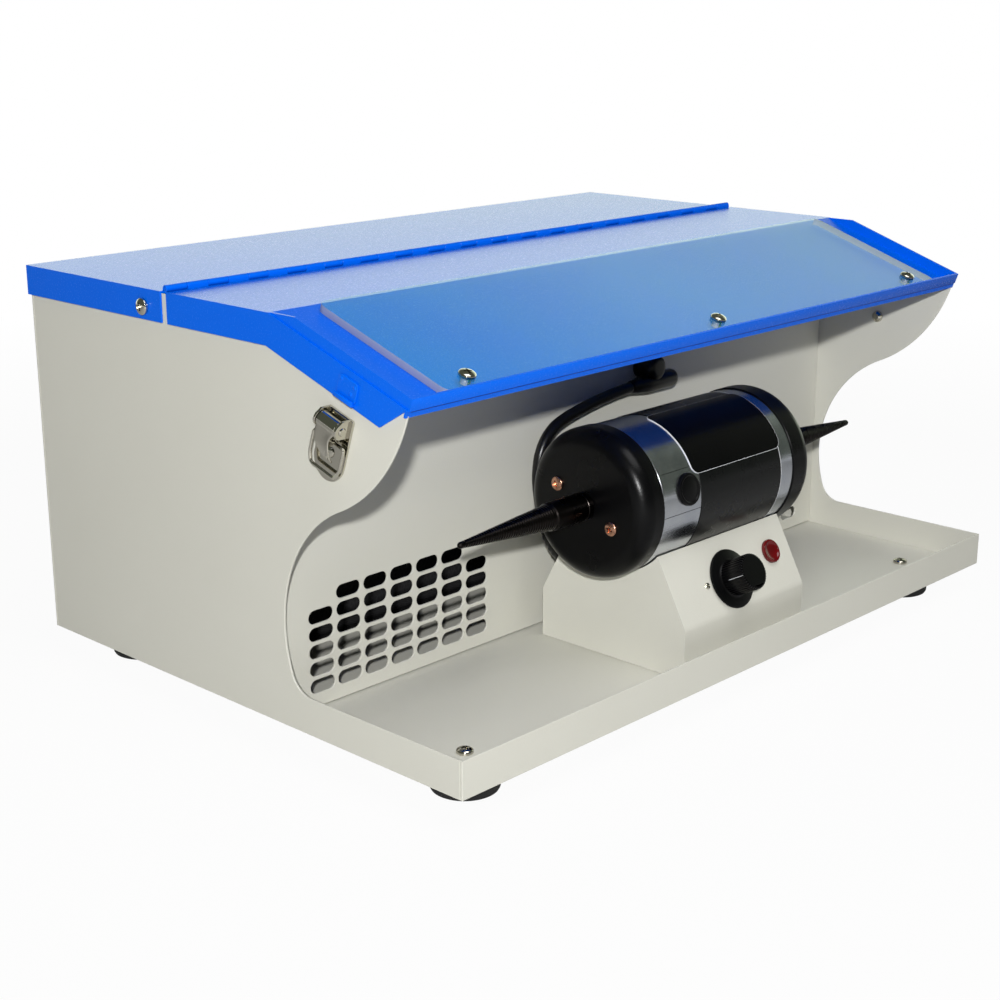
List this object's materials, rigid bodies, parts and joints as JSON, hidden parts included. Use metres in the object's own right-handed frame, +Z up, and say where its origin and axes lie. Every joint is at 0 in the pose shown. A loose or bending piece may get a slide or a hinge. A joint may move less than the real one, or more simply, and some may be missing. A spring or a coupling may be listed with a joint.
{
  "type": "polishing machine",
  "caption": "Bench polishing machine: a motor with a tapered spindle at each end over an open tray, a hinged lid on a dust chamber with slotted intakes, and an extractor fan behind a filter.",
  "frame": {"origin": "on the bench, under the middle of the machine's box", "axes": "+X to the right as the user sits, +Y to the back, +Z up"},
  "size_m": [0.4688, 0.32, 0.22],
  "materials": {
    "body_paint": "fine-texture powder coat, warm light grey",
    "cover_paint": "glossy bright blue powder coat",
    "chrome": "bright nickel or chrome plate",
    "motor_band": "polished, with a black sleeve round the middle",
    "motor_black": "satin black enamel",
    "black_plastic": "moulded black plastic",
    "rubber": "matt black rubber",
    "lead_jacket": "smooth black cable jacket",
    "dark_steel": "blackened steel, threaded",
    "steel": "machined steel",
    "copper": "copper-coloured plate",
    "clear_acrylic": "clear sheet with polished edges",
    "red_lens": "translucent dark red",
    "filter_foam": "open-cell black foam"
  },
  "bodies": {
    "cabinet": {"base_tray": "body_paint", "left_side_panel": "body_paint", "right_side_panel": "body_paint", "rear_panel": "body_paint", "intake_panel": "body_paint", "partition": "body_paint", "dust_filter": "filter_foam", "rear_cover": "cover_paint", "left_rear_cover_screw": "chrome", "right_rear_cover_screw": "chrome", "hinge_leaf_rear": "cover_paint", "left_latch_base": "chrome", "right_latch_base": "chrome", "front_left_foot": "rubber", "front_right_foot": "rubber", "rear_left_foot": "rubber", "rear_right_foot": "rubber", "front_left_foot_screw": "chrome", "front_right_foot_screw": "chrome", "rear_left_foot_screw": "chrome", "rear_right_foot_screw": "chrome", "motor_can": "motor_band", "left_motor_cap": "motor_black", "right_motor_cap": "motor_black", "left_cap_front_screw": "copper", "left_cap_rear_screw": "copper", "right_cap_front_screw": "copper", "right_cap_rear_screw": "copper", "front_brush_holder": "black_plastic", "rear_brush_holder": "black_plastic", "left_bearing": "steel", "right_bearing": "steel", "stator": "steel", "motor_base": "body_paint", "speed_control": "steel", "pilot_lamp": "red_lens", "motor_lead": "lead_jacket", "lead_gland": "black_plastic", "fan_frame": "black_plastic", "power_inlet": "black_plastic"},
    "lid": {"front_cover": "cover_paint", "hinge_leaf_front": "cover_paint", "screen": "clear_acrylic", "left_screen_screw": "chrome", "middle_screen_screw": "chrome", "right_screen_screw": "chrome", "left_latch_keeper": "cover_paint", "right_latch_keeper": "cover_paint"},
    "spindle": {"armature_shaft": "steel", "left_taper": "dark_steel", "right_taper": "dark_steel"},
    "speed_knob": {"speed_knob": "black_plastic"},
    "left_lever": {"left_latch_lever": "chrome"},
    "right_lever": {"right_latch_lever": "chrome"},
    "left_bail": {"left_latch_bail": "chrome"},
    "right_bail": {"right_latch_bail": "chrome"},
    "fan_wheel": {"fan_wheel": "black_plastic"},
    "switch_rocker": {"switch_rocker": "red_lens"}
  },
  "joints": [
    {"name": "lid_hinge", "type": "hinge", "parent": "cabinet", "child": "lid", "pos_m": [0, 0.039, 0.21825], "axis": [-1, 0, 0], "range_deg": [0, 178]},
    {"name": "spindle_turn", "type": "hinge", "parent": "cabinet", "child": "spindle", "pos_m": [0, -0.099, 0.1056], "axis": [1, 0, 0], "continuous": true},
    {"name": "speed_knob_turn", "type": "hinge", "parent": "cabinet", "child": "speed_knob", "pos_m": [-0.005, -0.13993, 0.0586], "axis": [0, 0.881, -0.4731], "range_deg": [0, 300]},
    {"name": "left_lever_pin", "type": "hinge", "parent": "cabinet", "child": "left_lever", "pos_m": [-0.2304, -0.08514, 0.17432], "axis": [0, 0.9479, 0.3185], "range_deg": [0, 120]},
    {"name": "right_lever_pin", "type": "hinge", "parent": "cabinet", "child": "right_lever", "pos_m": [0.2304, -0.08514, 0.17432], "axis": [0, -0.9479, -0.3185], "range_deg": [0, 120]},
    {"name": "left_bail_eye", "type": "hinge", "parent": "left_lever", "child": "left_bail", "pos_m": [-0.2288, -0.08246, 0.16636], "axis": [0, -0.9479, -0.3185], "range_deg": [-160, 4]},
    {"name": "right_bail_eye", "type": "hinge", "parent": "right_lever", "child": "right_bail", "pos_m": [0.2288, -0.08246, 0.16636], "axis": [0, 0.9479, 0.3185], "range_deg": [-160, 4]},
    {"name": "fan_turn", "type": "hinge", "parent": "cabinet", "child": "fan_wheel", "pos_m": [0, 0.14, 0.1152], "axis": [0, 1, 0], "continuous": true},
    {"name": "switch_rock", "type": "hinge", "parent": "cabinet", "child": "switch_rocker", "pos_m": [0.15, 0.1554, 0.0782], "axis": [1, 0, 0], "range_deg": [0, 12]}
  ]
}
